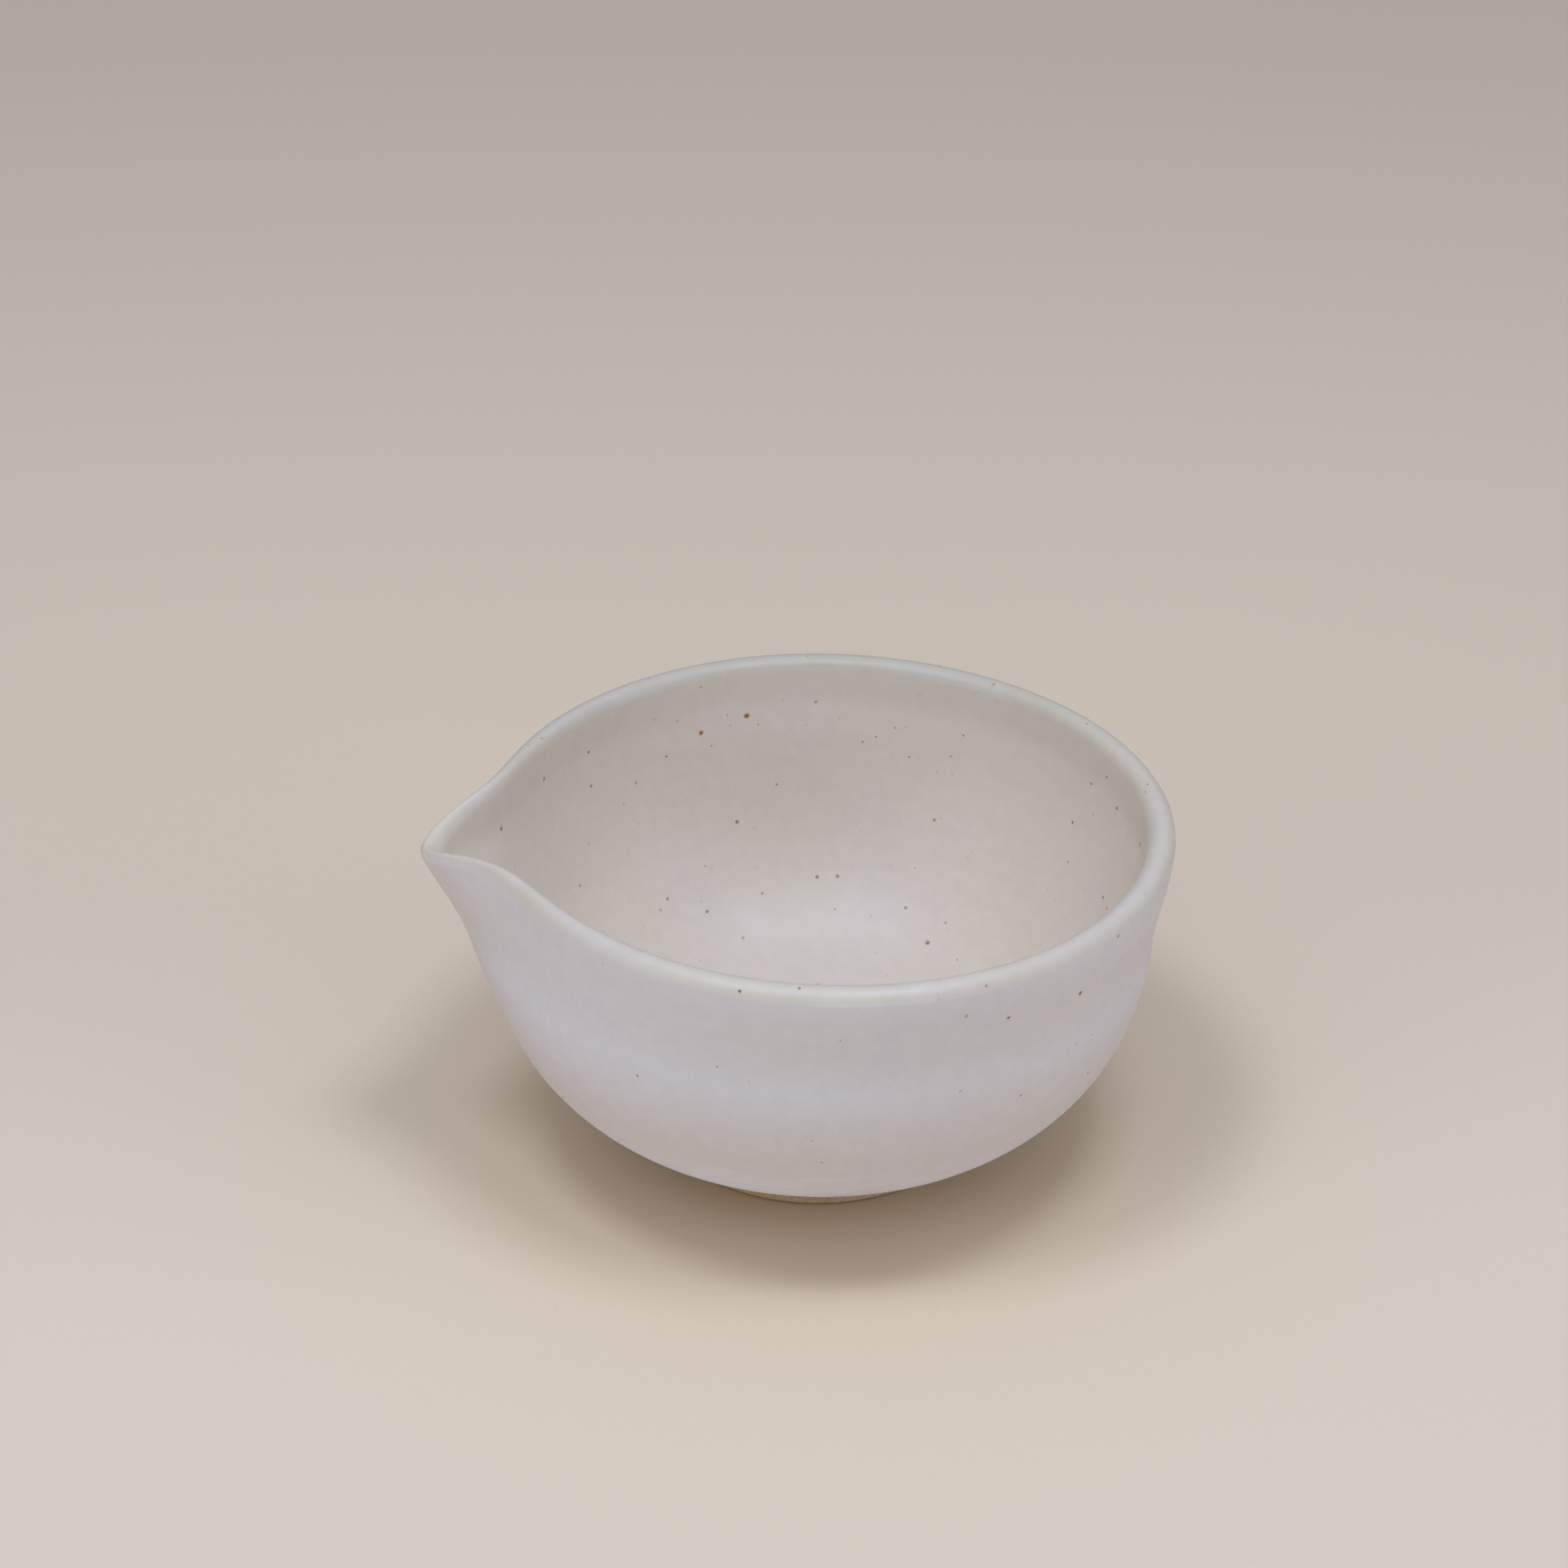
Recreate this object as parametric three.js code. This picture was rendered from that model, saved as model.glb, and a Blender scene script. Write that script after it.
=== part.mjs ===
import * as THREE from "three";

// A hand-thrown stoneware mortar bowl: one piece of fired clay with a rolled lip, a pouring spout pulled
// out of its wall and a trimmed foot ring, under a white glaze inside and out. Millimetres, +Z up. The
// origin is on the resting plane under the middle of the bowl's length, and the spout points along -X.

// Driving dimensions, in millimetres. A [radius, height] pair is a place on the wall, away from the spout.
const HEIGHT = 62;
const LIP_RADIUS = 60;
const LIP_THICKNESS = 4.8;
const GLAZE_THICKNESS = 0.5;
const FLOOR_HEIGHT = 9.6;

const GLAZE_LINE = [25.3, 5.05];
const BELLY_TOP = [57.3, 42];
const BELLY_PULLS = [[43.8, 8.6], [56.4, 22]];
const FLARE_PULLS = [[57.6, 48.5], [59.7, 54.5]];
const HOLLOW_PULLS = [[51.5, 22], [38, FLOOR_HEIGHT]];

const FOOT_RADIUS = 27.4;
const FOOT_WAIST = [25.2, 3.9];
const FOOT_RING_WIDTH = 5.6;
const FOOT_BEVEL = 0.5;
const FOOT_RECESS = 3.6;
const RECESS_SLOPE = 2.6;

// The wall is pushed out at the spout, drawn in on both sides of it and thinned along it from inside, and
// the lip dips where it pours. Each is a smooth hump centred on the spout, halfAngle degrees to either
// side, that begins at the start height and grows to its full depth at the lip.
const SPOUT = { depth: 11.1, halfAngle: 10.5, sharpness: 1.65, start: 21, growth: 1.8 };
const FLANKS = { depth: 3.6, halfAngle: 86, sharpness: 2, start: 22, growth: 1.5 };
const THINNING = { depth: 2, halfAngle: 31.5, sharpness: 2, start: 21, growth: 1.5 };
const LIP_DIP = { depth: 3.3, halfAngle: 7.2, sharpness: 1.7, start: 22, growth: 1.5 };

// Facets: sectors round the bowl, drawn closer together near the spout, and spans along each outline.
const SECTORS = 64;
const SPOUT_SECTOR_SHARE = 0.55;
const BELLY_SPANS = 7;
const FLARE_SPANS = 3;
const LIP_SPANS = 3;
const HOLLOW_SPANS = 10;

const LIP_HEIGHT = HEIGHT - LIP_THICKNESS / 2;
const LIP_CENTRE_RADIUS = LIP_RADIUS - LIP_THICKNESS / 2;

const place = ([radius, height]) => new THREE.Vector2(radius, height);

function wallCurve(start, pulls, end) {
  return new THREE.CubicBezierCurve(place(start), place(pulls[0]), place(pulls[1]), place(end));
}

function lipArc(startAngle, endAngle) {
  const radius = LIP_THICKNESS / 2;
  return new THREE.EllipseCurve(LIP_CENTRE_RADIUS, LIP_HEIGHT, radius, radius, startAngle, endAngle, false);
}

// Places on the glazed surface along a curve, each with the clay's surface one glaze thickness below it.
function glazedWall(curve, spans) {
  return Array.from({ length: spans + 1 }, (_, i) => {
    const glaze = curve.getPointAt(i / spans);
    const tangent = curve.getTangentAt(i / spans);
    const outward = new THREE.Vector2(tangent.y, -tangent.x);
    return { glaze, clay: glaze.clone().addScaledVector(outward, -GLAZE_THICKNESS) };
  });
}

// The glazed wall outside, from the glaze line above the foot to the crest of the lip, and inside, from
// the crest down to the middle of the floor. Each curve starts where the one before it ends.
function outsideWall() {
  const belly = wallCurve(GLAZE_LINE, BELLY_PULLS, BELLY_TOP);
  const flare = wallCurve(BELLY_TOP, FLARE_PULLS, [LIP_RADIUS, LIP_HEIGHT]);
  return [
    ...glazedWall(belly, BELLY_SPANS),
    ...glazedWall(flare, FLARE_SPANS).slice(1),
    ...glazedWall(lipArc(0, Math.PI / 2), LIP_SPANS).slice(1),
  ];
}

function insideWall() {
  const lipInside = [LIP_RADIUS - LIP_THICKNESS, LIP_HEIGHT];
  const hollow = wallCurve(lipInside, HOLLOW_PULLS, [0, FLOOR_HEIGHT]);
  return [
    ...glazedWall(lipArc(Math.PI / 2, Math.PI), LIP_SPANS),
    ...glazedWall(hollow, HOLLOW_SPANS).slice(1),
  ];
}

// The bare clay from the middle of the recess under the foot, round the foot ring, to its waist.
function footOutline() {
  const ringInside = FOOT_RADIUS - FOOT_RING_WIDTH;
  return [
    [0, FOOT_RECESS],
    [ringInside - RECESS_SLOPE, FOOT_RECESS],
    [ringInside - FOOT_BEVEL, FOOT_BEVEL],
    [ringInside, 0],
    [FOOT_RADIUS - FOOT_BEVEL, 0],
    [FOOT_RADIUS, FOOT_BEVEL],
    FOOT_WAIST,
  ].map(place);
}

// The depth of a hump in the wall at a height, and at an angle in degrees from the spout.
function humpDepth({ depth, halfAngle, sharpness, start, growth }, angle, height) {
  const rise = Math.max(0, (height - start) / (LIP_HEIGHT - start)) ** growth;
  return depth * rise * Math.exp(-(Math.abs(angle / halfAngle) ** sharpness));
}

// How far in a place on the wall lies, from 0 at the lip's widest to 1 on the inner wall.
function inwardShare(radius) {
  return THREE.MathUtils.clamp((LIP_RADIUS - radius) / LIP_THICKNESS, 0, 1);
}

// Turns a round body's vertices into the spouted bowl's: it crowds the sectors towards the spout, pushes
// the spout out, draws its flanks in, thins it and dips the lip.
function shapeSpout(geometry) {
  const position = geometry.getAttribute("position");
  for (let i = 0; i < position.count; i += 1) {
    const radius = Math.hypot(position.getX(i), position.getY(i));
    const height = position.getZ(i);
    const turn = Math.atan2(position.getY(i), -position.getX(i)) / Math.PI;
    const angle = 180 * (SPOUT_SECTOR_SHARE * turn + (1 - SPOUT_SECTOR_SHARE) * turn ** 3);
    const push = humpDepth(SPOUT, angle, height) - humpDepth(FLANKS, angle, height);
    const reach = radius + push + inwardShare(radius) * humpDepth(THINNING, angle, height);
    const radians = THREE.MathUtils.degToRad(angle);
    const dip = humpDepth(LIP_DIP, angle, height);
    position.setXYZ(i, -reach * Math.cos(radians), reach * Math.sin(radians), height - dip);
  }
  return geometry;
}

// Splits each four-cornered facet of a turned body along its shorter diagonal, so that two pieces that
// share a surface share its triangles too.
function splitFacets(geometry, steps) {
  const position = geometry.getAttribute("position");
  const vertex = (i) => new THREE.Vector3().fromBufferAttribute(position, i);
  const length = (i, j) => vertex(i).distanceTo(vertex(j));
  const corners = [];
  for (let sector = 0; sector < SECTORS; sector += 1) {
    for (let step = 0; step < steps - 1; step += 1) {
      const a = sector * steps + step;
      const d = a + 1;
      const b = a + steps;
      const c = b + 1;
      corners.push(...(length(a, c) < length(b, d) ? [a, b, c, a, c, d] : [a, b, d, b, c, d]));
    }
  }
  return geometry.setIndex(corners);
}

// One piece of the bowl, from the outline of its section, which is closed or runs from axis to axis.
function bowlPiece(name, outline, material) {
  const round = new THREE.LatheGeometry(outline, SECTORS).rotateX(Math.PI / 2);
  const piece = new THREE.Mesh(splitFacets(shapeSpout(round), outline.length), material);
  piece.name = name;
  return piece;
}

const pick = (wall, layer) => wall.map((step) => step[layer]);

const bareClay = new THREE.MeshStandardMaterial({ color: 0x9a8468, roughness: 0.85, metalness: 0 });
const whiteGlaze = new THREE.MeshStandardMaterial({ color: 0xcfc9c3, roughness: 0.45, metalness: 0 });
const floorGlaze = new THREE.MeshStandardMaterial({ color: 0xd2cac4, roughness: 0.42, metalness: 0 });

const outside = outsideWall();
const inside = insideWall();

const clayOutline = [...footOutline(), ...pick(outside, "clay"), ...pick(inside, "clay").slice(1)];
const linerOutline = [...pick(inside, "clay").reverse(), ...pick(inside, "glaze")];
const coatOutline = [...pick(outside, "glaze"), ...pick(outside, "clay").reverse(), outside[0].glaze];

const bowl = new THREE.Group();
bowl.add(
  bowlPiece("clay_body", clayOutline, bareClay),
  bowlPiece("liner_glaze", linerOutline, floorGlaze),
  bowlPiece("outer_glaze", coatOutline, whiteGlaze),
);

// The bowl is turned about its own axis, then moved so that the origin is under the middle of its length.
const middle = new THREE.Box3().setFromObject(bowl).getCenter(new THREE.Vector3());
bowl.position.x = -middle.x;

export default bowl;
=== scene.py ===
import math

import bpy
import numpy as np
from mathutils import Matrix, Vector


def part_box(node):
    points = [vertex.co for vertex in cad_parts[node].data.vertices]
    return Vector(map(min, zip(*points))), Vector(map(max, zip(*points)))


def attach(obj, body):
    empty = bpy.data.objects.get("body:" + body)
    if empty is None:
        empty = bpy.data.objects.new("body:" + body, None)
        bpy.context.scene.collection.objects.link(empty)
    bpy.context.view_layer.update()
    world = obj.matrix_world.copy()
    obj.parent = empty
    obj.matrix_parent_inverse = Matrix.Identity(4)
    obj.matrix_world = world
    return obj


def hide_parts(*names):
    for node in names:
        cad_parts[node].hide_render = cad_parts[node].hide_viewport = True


# A hand-thrown stoneware mortar bowl with a pulled pouring spout, under a satin white glaze with iron
# specks. The outlines are the CAD part's own. The bowl's lengths are in millimetres until its meshes are
# made; the floor and the lamps are in metres.

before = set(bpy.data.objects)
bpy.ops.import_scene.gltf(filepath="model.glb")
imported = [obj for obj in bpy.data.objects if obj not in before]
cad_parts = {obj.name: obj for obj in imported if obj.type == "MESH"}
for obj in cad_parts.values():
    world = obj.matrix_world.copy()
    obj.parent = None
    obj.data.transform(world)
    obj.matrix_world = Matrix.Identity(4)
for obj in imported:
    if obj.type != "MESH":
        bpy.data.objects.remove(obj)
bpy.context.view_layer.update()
_, coat_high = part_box("outer_glaze")

MM = 0.001
BODY = "root"

# ---------------------------------------------------------------- dimensions

HEIGHT = coat_high.z / MM
LIP_RADIUS = 60.0
LIP_THICKNESS = 4.8
GLAZE_THICKNESS = 0.5
FLOOR_HEIGHT = 9.6
AXIS_X = coat_high.x / MM - LIP_RADIUS

LIP_HEIGHT = HEIGHT - LIP_THICKNESS / 2
LIP_CENTRE_RADIUS = LIP_RADIUS - LIP_THICKNESS / 2

# Outlines of the section, away from the spout, as (radius, height)
GLAZE_LINE = (25.3, 5.05)
BELLY_TOP = (57.3, 42.0)
BELLY = (GLAZE_LINE, (43.8, 8.6), (56.4, 22.0), BELLY_TOP)
FLARE = (BELLY_TOP, (57.6, 48.5), (59.7, 54.5), (LIP_RADIUS, LIP_HEIGHT))
LIP_INSIDE = (LIP_RADIUS - LIP_THICKNESS, LIP_HEIGHT)
HOLLOW = (LIP_INSIDE, (51.5, 22.0), (38.0, FLOOR_HEIGHT), (0.0, FLOOR_HEIGHT))

FOOT_RADIUS = 27.4
FOOT_WAIST = (25.2, 3.9)
FOOT_RING_WIDTH = 5.6
FOOT_BEVEL = 0.5
FOOT_RECESS = 3.6
RECESS_SLOPE = 2.6

# Humps in the wall, centred on the spout: depth, half angle in degrees, and the height where each starts
SPOUT = {"depth": 11.1, "half_angle": 10.5, "sharpness": 1.65, "start": 21.0, "growth": 1.8}
FLANKS = {"depth": 3.6, "half_angle": 86.0, "sharpness": 2.0, "start": 22.0, "growth": 1.5}
THINNING = {"depth": 2.0, "half_angle": 31.5, "sharpness": 2.0, "start": 21.0, "growth": 1.5}
LIP_DIP = {"depth": 3.3, "half_angle": 7.2, "sharpness": 1.7, "start": 22.0, "growth": 1.5}

# How many degrees of the spout's tip are rounded off, outside and inside the lip
TIP_ROUNDING = (1.1, 3.4)

# What the potter's hands leave: throwing rings, a slightly uneven lip, and a glaze line that wanders. The
# rings start a little way from the middle of the floor and from the glaze line, fade out towards the crest
# of the lip, and are weaker at the spout.
OUTSIDE_RINGS = {"height": 0.020, "pitch": 3.4}
INSIDE_RINGS = {"height": 0.016, "pitch": 4.6}
RINGS_LIP_RUN = (5.0, 14.0)
RINGS_START_RADII = (1.0, 7.0)
RINGS_START_RUN = (0.5, 5.0)
RINGS_SPOUT_ANGLE = 24
RINGS_LOST_AT_SPOUT = 0.8
LIP_WOBBLE = 0.14
LIP_WOBBLE_START = 30.0
GLAZE_LINE_WANDER = 0.45
GLAZE_LINE_REACH = 4.0
GLAZE_EDGE_WIDTH = 1.6
GLAZE_EDGE_THINNING = 0.65
TRIM_MARKS = {"height": 0.035, "pitch": 0.95}

# Mesh fineness
SECTORS = 320
SPOUT_SECTOR_SHARE = 0.72
WALL_STEP = 0.85
LIP_STEP = 0.32
FOOT_STEP = 0.3
HIDDEN_ROW_SKIP = 4
FINE_EDGE_ROWS = 8

# A length too short to have a direction, and how close together the points of a pole are
NO_LENGTH = 1e-9
POLE_SPREAD = 1e-6

# ---------------------------------------------------------------- camera

CAMERA_AIM = Vector((-1.3, 9.3, 62.0)) * MM
CAMERA_DISTANCE = 692.4 * MM
CAMERA_AZIMUTH = math.radians(-7.564)
CAMERA_ELEVATION = math.radians(29.353)
CAMERA_ROLL = math.radians(1.328)
CAMERA_LENS = 93.17
SENSOR_WIDTH = 36.0


def add_object(name, data):
    """A new object in the scene that holds the data."""
    thing = bpy.data.objects.new(name, data)
    bpy.context.scene.collection.objects.link(thing)
    return thing


def make_camera():
    """A long lens above the bowl's rim, a little to the spout's side."""
    level = math.cos(CAMERA_ELEVATION)
    across, along = math.sin(CAMERA_AZIMUTH), -math.cos(CAMERA_AZIMUTH)
    back = Vector((across * level, along * level, math.sin(CAMERA_ELEVATION)))
    data = bpy.data.cameras.new("camera")
    data.lens = CAMERA_LENS
    data.sensor_width = SENSOR_WIDTH
    data.clip_start = 0.01
    data.clip_end = 20.0
    camera = add_object("camera", data)
    turn = back.to_track_quat("Z", "Y").to_matrix() @ Matrix.Rotation(CAMERA_ROLL, 3, "Z")
    camera.matrix_world = Matrix.Translation(CAMERA_AIM + back * CAMERA_DISTANCE) @ turn.to_4x4()
    bpy.context.scene.camera = camera


# ---------------------------------------------------------------- outlines: rows of (radius, height)


def bezier(corners, fine=400):
    """Points along a cubic curve through its two ends."""
    start, pull_out, pull_in, end = (np.array(c) for c in corners)
    t = np.linspace(0, 1, fine)[:, None]
    return (
        start * (1 - t) ** 3
        + 3 * pull_out * t * (1 - t) ** 2
        + 3 * pull_in * t**2 * (1 - t)
        + end * t**3
    )


def lip_arc(start, end, fine=100):
    """Points round the roll of the lip, between two angles in degrees."""
    angle = np.radians(np.linspace(start, end, fine))
    roll = LIP_THICKNESS / 2
    radius = LIP_CENTRE_RADIUS + roll * np.cos(angle)
    return np.column_stack([radius, LIP_HEIGHT + roll * np.sin(angle)])


def run_length(points):
    """How far along the line each of its points is."""
    return np.concatenate([[0], np.cumsum(np.hypot(*np.diff(points, axis=0).T))])


def evenly(points, step):
    """The same line with points about a step apart."""
    points = np.asarray(points, float)
    gone = run_length(points)
    at = np.linspace(0, gone[-1], max(2, round(gone[-1] / step) + 1))
    return np.column_stack([np.interp(at, gone, points[:, 0]), np.interp(at, gone, points[:, 1])])


def chain(*lines):
    """Lines that follow on from each other, as one."""
    return np.vstack([lines[0]] + [line[1:] for line in lines[1:]])


def foot_outline():
    """The bare clay from the middle of the recess, round the foot ring, to its waist."""
    ring_inside = FOOT_RADIUS - FOOT_RING_WIDTH
    corners = [
        (0, FOOT_RECESS),
        (ring_inside - RECESS_SLOPE, FOOT_RECESS),
        (ring_inside - FOOT_BEVEL, FOOT_BEVEL),
        (ring_inside, 0),
        (FOOT_RADIUS - FOOT_BEVEL, 0),
        (FOOT_RADIUS, FOOT_BEVEL),
        FOOT_WAIST,
    ]
    return chain(*(evenly([a, b], FOOT_STEP) for a, b in zip(corners, corners[1:])))


OUTSIDE = chain(
    evenly(chain(bezier(BELLY), bezier(FLARE)), WALL_STEP),
    evenly(lip_arc(0, 90), LIP_STEP),
)
INSIDE = chain(
    evenly(lip_arc(90, 180), LIP_STEP),
    evenly(bezier(HOLLOW), WALL_STEP),
)
GLAZED = chain(OUTSIDE, INSIDE)
CREST_ROW = len(OUTSIDE) - 1
GLAZED_RUN = run_length(GLAZED)
CREST_RUN = GLAZED_RUN[CREST_ROW]

# ---------------------------------------------------------------- the shape round the bowl


def sector_angles():
    """Angles from the spout, in radians, crowded together near it."""
    turn = np.arange(SECTORS) / SECTORS * 2 - 1
    return np.pi * (SPOUT_SECTOR_SHARE * turn + (1 - SPOUT_SECTOR_SHARE) * turn**3)


ANGLES = sector_angles()


def smooth(value, low, high):
    """0 below low, 1 above high, and a smooth step between them."""
    t = np.clip((value - low) / (high - low), 0, 1)
    return t * t * (3 - 2 * t)


def hump(shape, angle, height, rounding=0.0):
    """The depth of a hump at an angle in radians and a height, its tip rounded by some degrees."""
    rise = np.clip((height - shape["start"]) / (LIP_HEIGHT - shape["start"]), 0, None) ** shape["growth"]
    spread = (np.hypot(np.degrees(angle), rounding) / shape["half_angle"]) ** shape["sharpness"]
    return shape["depth"] * rise * np.exp(-spread)


def turned(outline):
    """The spouted surface of an outline, as rows by sectors of points."""
    radius = outline[:, 0][:, None]
    height = outline[:, 1][:, None]
    angle = ANGLES[None, :]
    inward = np.clip((LIP_RADIUS - radius) / LIP_THICKNESS, 0, 1)
    rounding = TIP_ROUNDING[0] + (TIP_ROUNDING[1] - TIP_ROUNDING[0]) * inward
    push = hump(SPOUT, angle, height, rounding) - hump(FLANKS, angle, height)
    reach = radius + push + inward * hump(THINNING, angle, height)
    dip = hump(LIP_DIP, angle, height)
    return np.stack([AXIS_X - reach * np.cos(angle), -reach * np.sin(angle), height - dip], axis=-1)


def normals_of(surface):
    """Unit normals of a surface of rows by sectors, facing away from the clay."""
    along = np.gradient(surface, axis=0)
    around = np.roll(surface, -1, axis=1) - np.roll(surface, 1, axis=1)
    normal = np.cross(around, along)
    length = np.linalg.norm(normal, axis=2, keepdims=True)
    return np.where(length > NO_LENGTH, normal / np.maximum(length, NO_LENGTH), 0)


def slow_wave(waves, phase):
    """A sum of a few waves round the bowl, between about -1 and 1."""
    turns = sum(np.sin(count * ANGLES + phase * count) / count for count in waves)
    return turns / sum(1 / count for count in waves)


def throwing_rings(rings, run, phase):
    """A low spiral left by the fingers, stronger in some places than in others."""
    turn = run[:, None] / rings["pitch"] + ANGLES[None, :] / (2 * np.pi)
    uneven = 0.65 + 0.35 * np.sin(run[:, None] / 7.3 + phase) * np.cos(2 * ANGLES[None, :] + phase)
    drift = 0.8 * np.sin(run[:, None] / 11.0 + phase)
    return rings["height"] * uneven * np.sin(2 * np.pi * turn + drift)


def hand_made(surface):
    """The glazed surface with its throwing rings and its slightly uneven lip."""
    run = GLAZED_RUN
    to_crest = np.abs(run - CREST_RUN)[:, None]
    off_lip = smooth(to_crest, *RINGS_LIP_RUN)
    radius = GLAZED[:, 0][:, None]
    outside = np.arange(len(run))[:, None] <= CREST_ROW
    outer_rings = throwing_rings(OUTSIDE_RINGS, run, 0.6)
    inner_rings = throwing_rings(INSIDE_RINGS, run, 2.1)
    rings = np.where(outside, outer_rings, inner_rings)
    spout_angle = np.degrees(ANGLES)[None, :] / RINGS_SPOUT_ANGLE
    off_spout = 1 - RINGS_LOST_AT_SPOUT * np.exp(-(spout_angle**2))
    off_middle = smooth(radius, *RINGS_START_RADII)
    off_glaze_line = smooth(run[:, None], *RINGS_START_RUN)
    relief = rings * off_lip * off_spout * off_middle * off_glaze_line
    moved = surface + normals_of(surface) * relief[..., None]
    high = smooth(GLAZED[:, 1][:, None], LIP_WOBBLE_START, LIP_HEIGHT)
    outward = np.stack([-np.cos(ANGLES), -np.sin(ANGLES), 0 * ANGLES], axis=-1)[None]
    moved = moved + outward * (LIP_WOBBLE * slow_wave((2, 3, 5), 0.7) * high)[..., None]
    moved[..., 2] += 0.5 * LIP_WOBBLE * (slow_wave((3, 4, 7), 1.9) - 1) * high
    return moved


def wander(surface):
    """The same surface with its first rows, at the glaze line, drawn back unevenly from the foot."""
    along = np.gradient(surface, axis=0)
    along /= np.maximum(np.linalg.norm(along, axis=2, keepdims=True), NO_LENGTH)
    drawn = GLAZE_LINE_WANDER * (0.5 + 0.5 * slow_wave((3, 5, 8, 13), 0.4))
    fading = np.exp(-GLAZED_RUN / GLAZE_LINE_REACH)
    return surface + along * (fading[:, None] * drawn[None, :])[..., None]


glazed_surface = wander(hand_made(turned(GLAZED)))
glazed_surface[-1] = glazed_surface[-1].mean(axis=0)
glazed_normals = normals_of(glazed_surface)
glazed_normals[-1] = (0, 0, 1)
glaze_depth = GLAZE_THICKNESS * (1 - GLAZE_EDGE_THINNING * np.exp(-GLAZED_RUN / GLAZE_EDGE_WIDTH))
clay_surface = glazed_surface - glaze_depth[:, None, None] * glazed_normals


def trimmed_foot():
    """The bare foot, with the fine turned marks of the trimming tool on its sides and in its recess."""
    outline = foot_outline()
    surface = turned(outline)
    run = run_length(outline)[:, None]
    marks = np.sin(2 * np.pi * (run / TRIM_MARKS["pitch"] + ANGLES[None, :] / (2 * np.pi)))
    uneven = 0.6 + 0.4 * np.sin(run / 3.1 + 2 * ANGLES[None, :])
    stands = smooth(outline[:, 1][:, None], 0.05, FOOT_BEVEL)
    relief = TRIM_MARKS["height"] * marks * uneven * stands * smooth(outline[:, 0][:, None], 0.5, 4.0)
    surface = surface + normals_of(surface) * relief[..., None]
    surface[..., 2] = np.maximum(surface[..., 2], 0)
    surface[0] = surface[0].mean(axis=0)
    return surface


# ---------------------------------------------------------------- meshes


def closed_mesh(name, rows, normals):
    """A closed body from rows of points round the axis, whose normals are given where they aren't zero.

    A first or last row whose points are all alike is a pole. The last row joins a first that isn't one."""
    starts_at_pole = np.ptp(rows[0], axis=0).max() < POLE_SPREAD
    ends_at_pole = np.ptp(rows[-1], axis=0).max() < POLE_SPREAD
    last = len(rows) - 1
    vertices = []
    directions = []
    row_start = []
    for index, row in enumerate(rows):
        row_start.append(len(vertices))
        pole = (index == 0 and starts_at_pole) or (index == last and ends_at_pole)
        vertices.extend(row[:1] if pole else row)
        directions.extend(normals[index][:1] if pole else normals[index])
    faces = []
    for index in range(last if starts_at_pole else last + 1):
        here, there = row_start[index], row_start[(index + 1) % len(rows)]
        for sector in range(SECTORS):
            after = (sector + 1) % SECTORS
            if index == 0 and starts_at_pole:
                faces.append((here, there + after, there + sector))
            elif index == last - 1 and ends_at_pole:
                faces.append((here + sector, here + after, there))
            else:
                faces.append((here + sector, here + after, there + after, there + sector))
    mesh = bpy.data.meshes.new(name)
    mesh.from_pydata([tuple(v) for v in np.array(vertices) * MM], [], faces)
    mesh.polygons.foreach_set("use_smooth", [True] * len(mesh.polygons))
    mesh.normals_split_custom_set_from_vertices([tuple(d) for d in directions])
    mesh.update()
    return add_object(name, mesh)


def hidden_rows(first, last):
    """Rows for the clay under the glaze, which can be coarse, with both end rows in."""
    fine = list(range(first, min(first + FINE_EDGE_ROWS, last)))
    coarse = list(range(first + FINE_EDGE_ROWS, last, HIDDEN_ROW_SKIP))
    return fine + coarse + [last]


def make_pieces():
    """The clay and its two glaze coats, each a closed body on the bowl's body, with its CAD part hidden."""
    end = len(GLAZED) - 1
    under_outside = clay_surface[hidden_rows(0, CREST_ROW)]
    under_inside = clay_surface[hidden_rows(CREST_ROW, end)]
    foot = trimmed_foot()
    clay_rows = np.concatenate([foot, under_outside, under_inside[1:]])
    outer_rows = np.concatenate([glazed_surface[: CREST_ROW + 1], under_outside[::-1]])
    liner_rows = np.concatenate([under_inside[::-1], glazed_surface[CREST_ROW:]])
    outer_normals = np.concatenate([glazed_normals[: CREST_ROW + 1], 0 * under_outside])
    liner_normals = np.concatenate([0 * under_inside, glazed_normals[CREST_ROW:]])
    clay = closed_mesh("thrown_clay", clay_rows, 0 * clay_rows)
    outer = closed_mesh("outside_coat", outer_rows, outer_normals)
    liner = closed_mesh("inside_coat", liner_rows, liner_normals)
    for piece, node, slot in (
        (clay, "clay_body", "bare_clay"),
        (outer, "outer_glaze", "outside_glaze"),
        (liner, "liner_glaze", "inside_glaze"),
    ):
        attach(piece, BODY)
        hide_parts(node)
    return clay, outer, liner


# ---------------------------------------------------------------- materials


# The Mix node's sockets for colours, which have the same names as its sockets for numbers
MIX_UNDER = 6
MIX_OVER = 7
MIX_RESULT = 2


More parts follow.
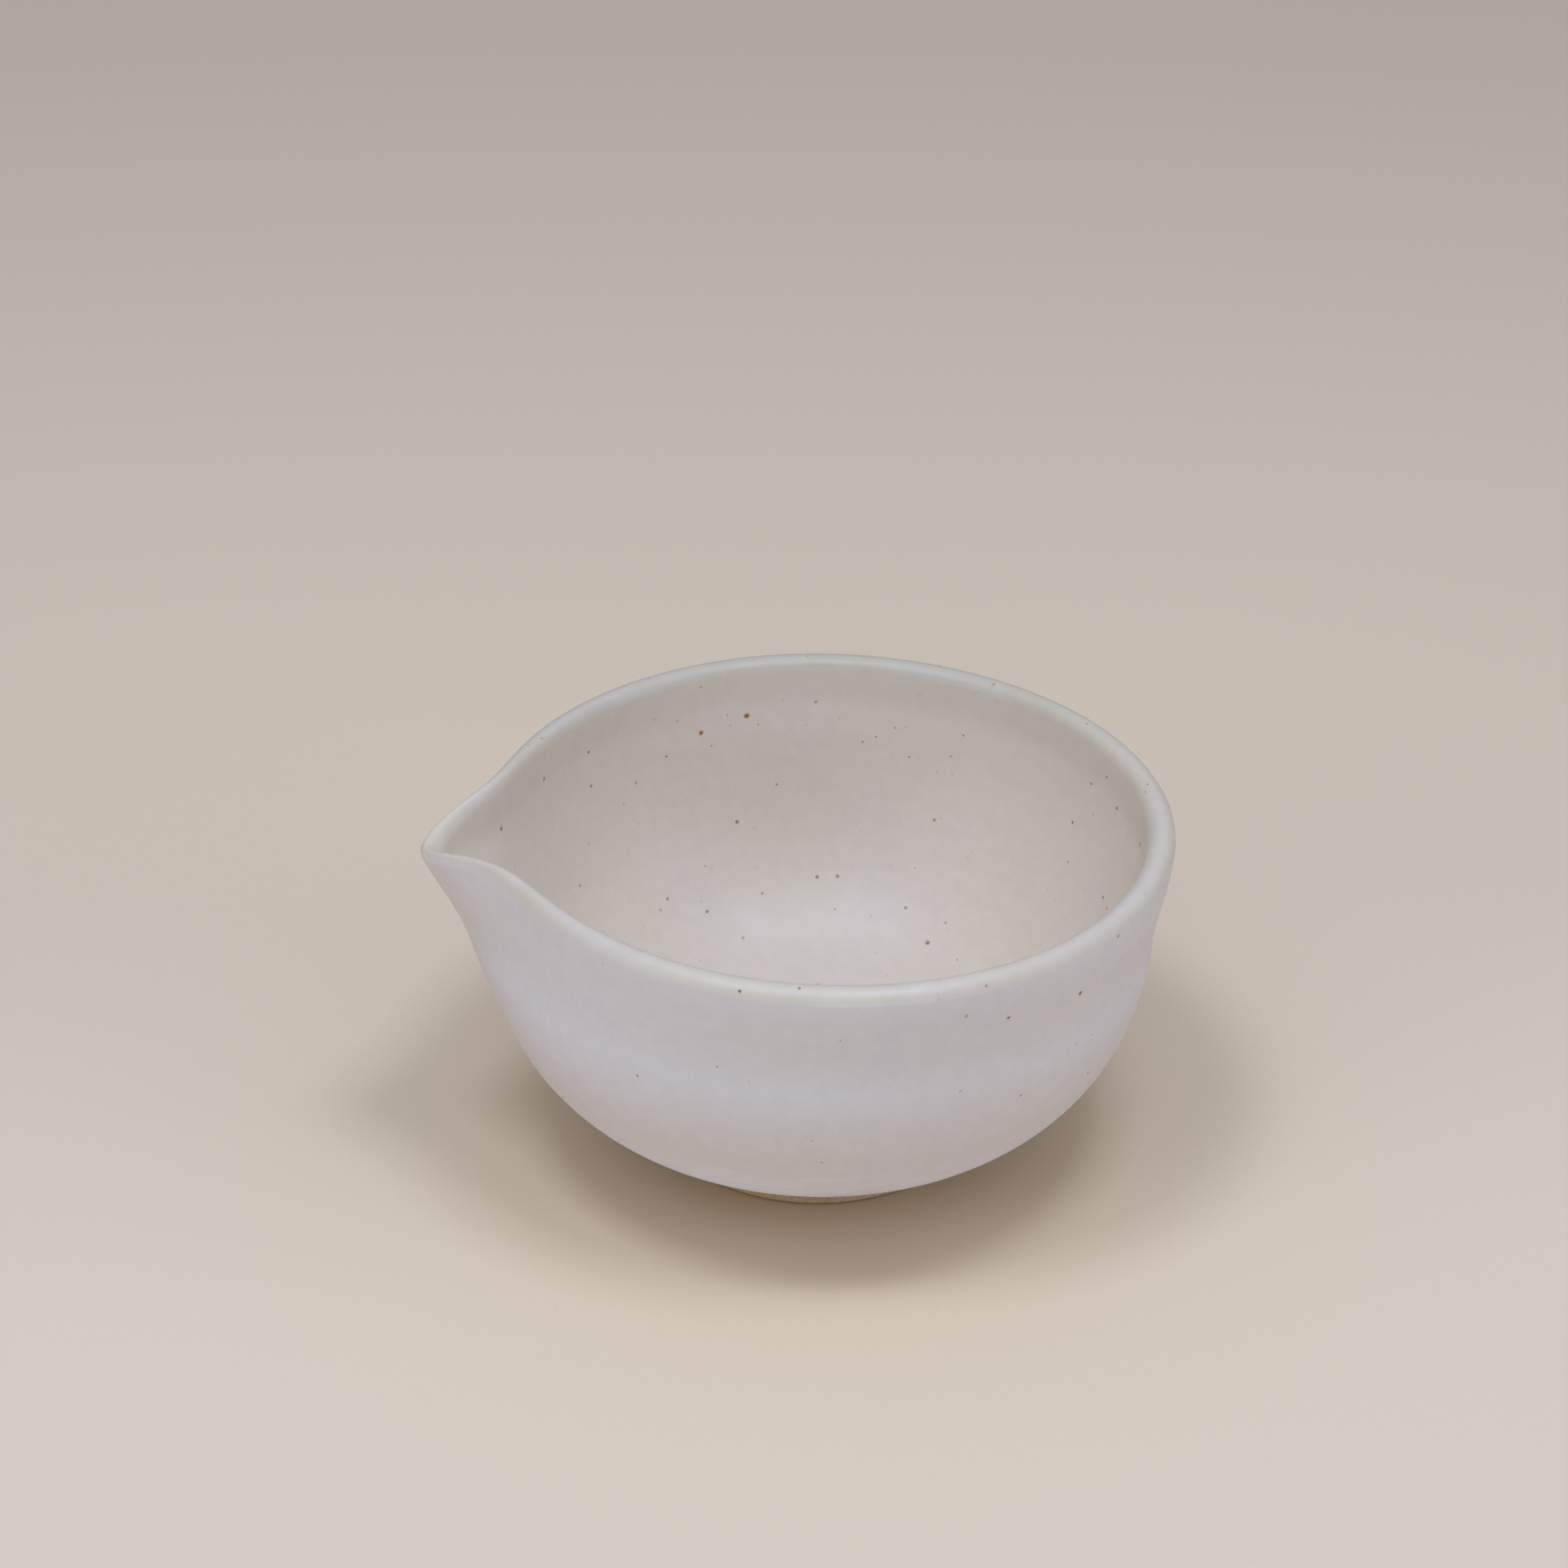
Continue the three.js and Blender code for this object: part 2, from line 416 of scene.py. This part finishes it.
class Surface:
    """A material and short words for building its nodes. Places are in object space, in millimetres."""

    def __init__(self, name):
        self.material = bpy.data.materials.new(name)
        self.material.use_nodes = True
        self.tree = self.material.node_tree
        self.shader = self.tree.nodes["Principled BSDF"]
        coordinates = self.tree.nodes.new("ShaderNodeTexCoord").outputs["Object"]
        self.place = self.vector("SCALE", coordinates, scale=1 / MM)
        facing = self.tree.nodes.new("ShaderNodeTexCoord").outputs["Normal"]
        self.facing_up = self.add("ShaderNodeSeparateXYZ", Vector=facing).outputs["Z"]
        along = self.add("ShaderNodeSeparateXYZ", Vector=self.place)
        self.depth = along.outputs["Y"]
        self.height = along.outputs["Z"]

    def add(self, kind, settings=(), **inputs):
        """A node, with settings such as its operation, and a value or a link for each named input."""
        node = self.tree.nodes.new(kind)
        for key, value in dict(settings).items():
            setattr(node, key, value)
        for key, value in inputs.items():
            self.feed(node.inputs[key.replace("_", " ")], value)
        return node

    def feed(self, socket, value):
        """Gives a socket a link, a colour or a plain value."""
        if isinstance(value, bpy.types.NodeSocket):
            self.tree.links.new(value, socket)
        elif isinstance(value, tuple) and socket.type == "RGBA":
            socket.default_value = (*value, 1)
        else:
            socket.default_value = value

    def math(self, operation, *values):
        """A sum, product or the like of numbers."""
        node = self.add("ShaderNodeMath", {"operation": operation})
        for socket, value in zip(node.inputs, values):
            self.feed(socket, value)
        return node.outputs[0]

    def vector(self, operation, *values, scale=None):
        """A sum, product or the like of places or colours."""
        node = self.add("ShaderNodeVectorMath", {"operation": operation})
        for socket, value in zip(node.inputs, values):
            self.feed(socket, value)
        if scale is not None:
            self.feed(node.inputs["Scale"], scale)
        return node.outputs["Vector"]

    def ramp(self, value, low, high, out_low=0.0, out_high=1.0):
        """A smooth step from out_low to out_high as the value goes from low to high."""
        settings = {"interpolation_type": "SMOOTHSTEP"}
        node = self.add("ShaderNodeMapRange", settings, Value=value, From_Min=low, From_Max=high)
        self.feed(node.inputs["To Min"], out_low)
        self.feed(node.inputs["To Max"], out_high)
        return node.outputs["Result"]

    def noise(self, size, detail, stretch=None):
        """Noise from 0 to 1 with features of about a size in millimetres."""
        place = self.place if stretch is None else self.vector("MULTIPLY", self.place, stretch)
        node = self.add("ShaderNodeTexNoise", Vector=place, Scale=1 / size, Detail=detail)
        return node.outputs["Fac"]

    def mix(self, amount, under, over):
        """A colour laid over another, by an amount."""
        node = self.add("ShaderNodeMix", {"data_type": "RGBA"})
        self.feed(node.inputs["Factor"], amount)
        self.feed(node.inputs[MIX_UNDER], under)
        self.feed(node.inputs[MIX_OVER], over)
        return node.outputs[MIX_RESULT]

    def shade(self, color, amount):
        """The colour times a number."""
        return self.vector("SCALE", color, scale=amount)

    def warped(self):
        """The place, pushed about a little, so that round spots come out ragged."""
        noise = self.add("ShaderNodeTexNoise", Vector=self.place, Scale=1 / RAGGED_SIZE, Detail=2.0)
        push = self.vector("SUBTRACT", noise.outputs["Color"], (0.5, 0.5, 0.5))
        return self.vector("ADD", self.place, self.vector("SCALE", push, scale=RAGGED_REACH))

    def finish(self, color, roughness, relief, relief_depth):
        """Joins the colour, the roughness and the relief, whose full depth is in millimetres."""
        bump = self.add("ShaderNodeBump", Height=relief, Distance=relief_depth * MM, Strength=1.0)
        self.feed(self.shader.inputs["Base Color"], color)
        self.feed(self.shader.inputs["Roughness"], roughness)
        self.feed(self.shader.inputs["Normal"], bump.outputs["Normal"])
        return self.material


WALL_WHITE = (0.702, 0.629, 0.523)
# Painted light: the outside colour low on the belly, much whiter and bluer than the wall's, lifts the lower
# belly as if it were lit
LOWER_BELLY_PAINTED_LIGHT = (0.925, 0.950, 0.990)
HOLLOW_WHITE = (0.698, 0.582, 0.416)
# Painted light: the inside floor has its own colour, set apart from the inside wall's for how light falls
# in the hollow
INSIDE_FLOOR_PAINTED_LIGHT = (0.692, 0.574, 0.394)
RIM_WHITE = (0.595, 0.485, 0.315)
# Painted shade: the colour of the far side of the rim, darker than the near side
FAR_RIM_PAINTED_SHADE = (0.510, 0.422, 0.268)
CLOUD_TINT = (0.68, 0.62, 0.52)
ROSY_TINT = (0.68, 0.56, 0.60)

IRON_CORE = (0.250, 0.112, 0.034)
IRON_HALO = (0.480, 0.275, 0.120)
VEIL = (0.44, 0.36, 0.26)

CLAY_TAN = (0.620, 0.450, 0.230)
CLAY_BROWN = (0.515, 0.368, 0.180)
TOASTED_CLAY = (0.36, 0.17, 0.065)
WORN_CLAY = (0.52, 0.40, 0.26)
GROG = (0.62, 0.51, 0.36)
CLAY_IRON = (0.09, 0.04, 0.016)

# The heights below which the lower colour takes over, as painted light, and how far back the rim's painted
# shade starts and ends
OUTSIDE_PAINTED_LIGHT_TOP = 28.0
INSIDE_PAINTED_LIGHT_TOP = 44.0
RIM_SHADE_FROM = 5.0
RIM_SHADE_TO = 55.0

# The rim's colour comes in as the surface turns up, and only at the top of the wall: partly the glaze's own
# greyer tone over the rim, partly painted shade that darkens the up-facing crest
RIM_FACING = (-0.20, 0.60)
RIM_HEIGHTS = (52.0, 56.5)

# The full depth of each surface's relief, and the size and reach of the raggedness of specks
GLAZE_RELIEF = 0.045
CLAY_RELIEF = 0.12
PAPER_RELIEF = 0.01
RAGGED_SIZE = 0.65
RAGGED_REACH = 0.32

# Kinds of speck: spacing, smallest and largest width, the share of places that have one, and a seed. In a
# glaze the spacing is a multiple of the glaze's own.
OUTSIDE_SPACING = 4.2
INSIDE_SPACING = 3.0
PINHOLE_SPACING = 6.5
VEILED_SPECKS = {"spacing": 1.5, "widths": (0.5, 1.5), "kept": 0.6, "seed": 3}
SMALL_SPECKS = {"spacing": 1, "widths": (0.2, 0.85), "kept": 0.8, "seed": 1}
LARGE_SPECKS = {"spacing": 2.1, "widths": (0.5, 1.05), "kept": 0.75, "seed": 2}
GROG_SPECKS = {"spacing": 1.5, "widths": (0.25, 0.7), "kept": 0.7, "seed": 5}
CLAY_SPECKS = {"spacing": 3.2, "widths": (0.3, 0.9), "kept": 0.6, "seed": 8}

# How a speck's seed moves the pattern of places, and the share of its size left where there is no speck
SEED_STEP = (13.7, 5.3, 9.1)
NO_SPECK = 1e-4


def scattered(s, ragged, kind, glaze_spacing=1):
    """Random specks: how far each place is from the middle of its speck, in radii, and a random number."""
    spacing = kind["spacing"] * glaze_spacing
    smallest, largest = kind["widths"]
    place = s.vector("ADD", ragged, tuple(kind["seed"] * step for step in SEED_STEP))
    cell = s.add("ShaderNodeTexVoronoi", Vector=place, Scale=1 / spacing)
    chance = s.add("ShaderNodeSeparateXYZ", Vector=cell.outputs["Color"])
    size = s.ramp(chance.outputs["X"], 0.0, 1.0, smallest / 2, largest / 2)
    there = s.math("LESS_THAN", chance.outputs["Y"], kind["kept"])
    radius = s.math("MULTIPLY", size, s.math("ADD", there, NO_SPECK))
    away = s.math("DIVIDE", s.math("MULTIPLY", cell.outputs["Distance"], spacing), radius)
    return away, chance.outputs["Z"]


def speckle(s, color, spacing):
    """Iron specks over the glaze: some large, many small, and pale ones that the glaze has veiled."""
    ragged = s.warped()
    veiled, chance = scattered(s, ragged, VEILED_SPECKS, spacing)
    veil = s.math("MULTIPLY", s.ramp(veiled, 1.0, 0.1), s.ramp(chance, 0.0, 1.0, 0.05, 0.30))
    color = s.mix(veil, color, VEIL)
    small, chance = scattered(s, ragged, SMALL_SPECKS, spacing)
    strength = s.ramp(chance, 0.1, 1.0, 0.18, 1.0)
    color = s.mix(s.math("MULTIPLY", s.ramp(small, 1.1, 0.5), strength), color, IRON_HALO)
    strong = s.math("POWER", strength, 2.0)
    color = s.mix(s.math("MULTIPLY", s.ramp(small, 0.6, 0.2), strong), color, IRON_CORE)
    large, _ = scattered(s, ragged, LARGE_SPECKS, spacing)
    color = s.mix(s.ramp(large, 1.35, 0.7), color, IRON_HALO)
    color = s.mix(s.ramp(large, 0.85, 0.3), color, IRON_CORE)
    return color, s.ramp(s.math("MINIMUM", large, small), 1.1, 0.3)


def glaze(name, wall, lower_painted_light, painted_light_top, spacing):
    """A satin white glaze: cloudy tint, a darker rim that is partly painted shade, iron specks, pinholes
    and a faint orange peel.

    Below a given height its colour turns to a second colour, painted light for how light falls low on the
    bowl, and the far side of the rim gets painted shade."""
    s = Surface(name)
    # Painted light: below the given height the colour turns to the second, lower colour
    color = s.mix(s.ramp(s.height, painted_light_top, 0.25 * painted_light_top), wall, lower_painted_light)
    # Painted shade: the rim's colour darkens towards the far side of the bowl
    rim = s.mix(s.ramp(s.depth, RIM_SHADE_FROM, RIM_SHADE_TO), RIM_WHITE, FAR_RIM_PAINTED_SHADE)
    # Partly painted shade: the up-facing crest of the lip takes the darker rim colour
    crest = s.math("MULTIPLY", s.ramp(s.facing_up, *RIM_FACING), s.ramp(s.height, *RIM_HEIGHTS))
    color = s.mix(crest, color, rim)
    color = s.mix(s.ramp(s.noise(34.0, 3.0), 0.35, 0.65, 0.0, 0.10), color, CLOUD_TINT)
    rosy = s.noise(26.0, 2.0, (1.0, 1.3, 0.8))
    color = s.mix(s.ramp(rosy, 0.4, 0.7, 0.0, 0.10), color, ROSY_TINT)
    color = s.shade(color, s.ramp(s.noise(2.6, 4.0), 0.3, 0.7, 0.985, 1.012))
    color = s.shade(color, s.ramp(s.noise(0.35, 2.0), 0.25, 0.75, 0.988, 1.012))
    color, iron = speckle(s, color, spacing)
    pit = s.add("ShaderNodeTexVoronoi", Vector=s.place, Scale=1 / PINHOLE_SPACING).outputs["Distance"]
    pinhole = s.ramp(pit, 0.030, 0.012)
    color = s.mix(s.math("MULTIPLY", pinhole, 0.35), color, VEIL)
    coarse = s.math("MULTIPLY", s.noise(1.7, 2.0), 0.75)
    peel = s.math("ADD", coarse, s.math("MULTIPLY", s.noise(0.32, 2.0), 0.16))
    relief = s.math("SUBTRACT", peel, s.math("MULTIPLY", pinhole, 0.8))
    cloudy = s.ramp(s.noise(9.0, 3.0), 0.3, 0.7, 0.43, 0.53)
    roughness = s.math("ADD", cloudy, s.math("MULTIPLY", iron, 0.10))
    return s.finish(color, roughness, relief, GLAZE_RELIEF)


def bare_clay():
    """Fired stoneware left bare: golden tan, sandy, toasted near the glaze, with grog and iron in it."""
    s = Surface("bare_clay")
    ragged = s.warped()
    color = s.mix(s.noise(7.0, 4.0), CLAY_TAN, CLAY_BROWN)
    uneven_height = s.math("ADD", s.height, s.math("MULTIPLY", s.noise(3.0, 3.0), 1.6))
    toasted = s.ramp(uneven_height, 3.9, 5.6)
    color = s.mix(s.math("MULTIPLY", toasted, 0.5), color, TOASTED_CLAY)
    worn = s.ramp(s.height, 0.35, 0.0)
    color = s.mix(s.math("MULTIPLY", worn, 0.35), color, WORN_CLAY)
    color = s.shade(color, s.ramp(s.noise(0.28, 3.0), 0.25, 0.75, 0.82, 1.16))
    grog, chance = scattered(s, ragged, GROG_SPECKS)
    amount = s.math("MULTIPLY", s.ramp(grog, 1.0, 0.6), s.ramp(chance, 0.4, 1.0, 0.0, 0.6))
    color = s.mix(amount, color, GROG)
    iron, chance = scattered(s, ragged, CLAY_SPECKS)
    amount = s.math("MULTIPLY", s.ramp(iron, 1.0, 0.5), s.ramp(chance, 0.2, 1.0, 0.2, 0.9))
    color = s.mix(amount, color, CLAY_IRON)
    coarse = s.math("MULTIPLY", s.noise(0.9, 3.0), 0.4)
    relief = s.math("ADD", coarse, s.math("MULTIPLY", s.noise(0.25, 3.0), 0.6))
    roughness = s.ramp(s.noise(0.6, 3.0), 0.3, 0.7, 0.78, 0.92)
    return s.finish(color, roughness, relief, CLAY_RELIEF)


# ---------------------------------------------------------------- floor and light

FLOOR_SIZE = 6.0
FLOOR_COLOR = (0.710, 0.553, 0.350)
# Painted shade: the paper's colour far behind the bowl, darker than in front
FAR_FLOOR_PAINTED_SHADE = (0.698, 0.531, 0.328)
FLOOR_TURNS_FROM = -0.04
FLOOR_TURNS_TO = 0.16

# Light falls from all round, weaker near the horizon, and is full from this rise up (the sine of its angle)
LIGHT_COLOR = (0.83, 0.975, 1.40)
SKY_STRENGTH = 0.47
HORIZON_STRENGTH = 0.11
SKY_FULL_FROM = 0.6

# Lamps: name, place, what it is aimed at, width and height, and watts
MIDDLE = (0, 0, 0.03)
LAMPS = [
    ("left_overhead", (-0.24, -0.15, 0.90), (0, 0, 0), (0.22, 0.22), 1.3),
    ("right_overhead", (0.17, -0.15, 0.90), (0, 0, 0), (0.22, 0.22), 1.3),
    ("front", (-0.50, -0.90, 1.30), MIDDLE, (0.7, 0.7), 0.7),
    ("low_front", (-0.10, -1.60, 0.17), MIDDLE, (1.2, 0.3), 2.0),
    ("left_fill", (-1.25, -0.60, 0.55), MIDDLE, (0.9, 0.5), 2.7),
    ("right_fill", (1.25, -0.60, 0.55), MIDDLE, (0.9, 0.5), 2.7),
]


def make_floor():
    """A pale paper with painted shade: it turns a little darker behind the bowl."""
    corners = [(-1, -1), (1, -1), (1, 1), (-1, 1)]
    mesh = bpy.data.meshes.new("floor")
    mesh.from_pydata([(x * FLOOR_SIZE, y * FLOOR_SIZE, 0) for x, y in corners], [], [(0, 1, 2, 3)])
    floor = add_object("floor", mesh)
    s = Surface("paper")
    # Painted shade: the paper darkens going back from the bowl
    away = s.ramp(s.depth, FLOOR_TURNS_FROM / MM, FLOOR_TURNS_TO / MM)
    grain = s.ramp(s.noise(0.8, 3.0), 0.2, 0.8, 0.99, 1.01)
    color = s.shade(s.mix(away, FLOOR_COLOR, FAR_FLOOR_PAINTED_SHADE), grain)
    mesh.materials.append(s.finish(color, 0.9, s.noise(0.5, 2.0), PAPER_RELIEF))


def area_light(name, place, aim, size, watts):
    """A broad lamp that faces what it is aimed at."""
    data = bpy.data.lights.new(name, "AREA")
    data.shape = "RECTANGLE"
    data.size, data.size_y = size
    data.energy = watts
    data.color = LIGHT_COLOR
    lamp = add_object(name, data)
    lamp.location = place
    lamp.rotation_euler = (Vector(place) - Vector(aim)).to_track_quat("Z", "Y").to_euler()


def make_lights():
    """Soft light from all round, and the lamps: overhead, in front high and low, and at each side."""
    world = bpy.data.worlds.new("world")
    world.use_nodes = True
    tree = world.node_tree
    background = tree.nodes["Background"]
    background.inputs["Color"].default_value = (*LIGHT_COLOR, 1)
    way = tree.nodes.new("ShaderNodeTexCoord").outputs["Generated"]
    parts = tree.nodes.new("ShaderNodeSeparateXYZ")
    tree.links.new(way, parts.inputs["Vector"])
    rise = tree.nodes.new("ShaderNodeMapRange")
    tree.links.new(parts.outputs["Z"], rise.inputs["Value"])
    rise.inputs["From Max"].default_value = SKY_FULL_FROM
    rise.inputs["To Min"].default_value = HORIZON_STRENGTH
    rise.inputs["To Max"].default_value = SKY_STRENGTH
    tree.links.new(rise.outputs["Result"], background.inputs["Strength"])
    bpy.context.scene.world = world
    for lamp in LAMPS:
        area_light(*lamp)


make_camera()
clay, outer, liner = make_pieces()
clay.data.materials.append(bare_clay())
outside_glaze = glaze("outside_glaze", WALL_WHITE, LOWER_BELLY_PAINTED_LIGHT, OUTSIDE_PAINTED_LIGHT_TOP, OUTSIDE_SPACING)
inside_glaze = glaze("inside_glaze", HOLLOW_WHITE, INSIDE_FLOOR_PAINTED_LIGHT, INSIDE_PAINTED_LIGHT_TOP, INSIDE_SPACING)
outer.data.materials.append(outside_glaze)
liner.data.materials.append(inside_glaze)
make_floor()
make_lights()
bpy.context.scene.view_settings.view_transform = "Standard"
bpy.context.scene.view_settings.look = "High Contrast"
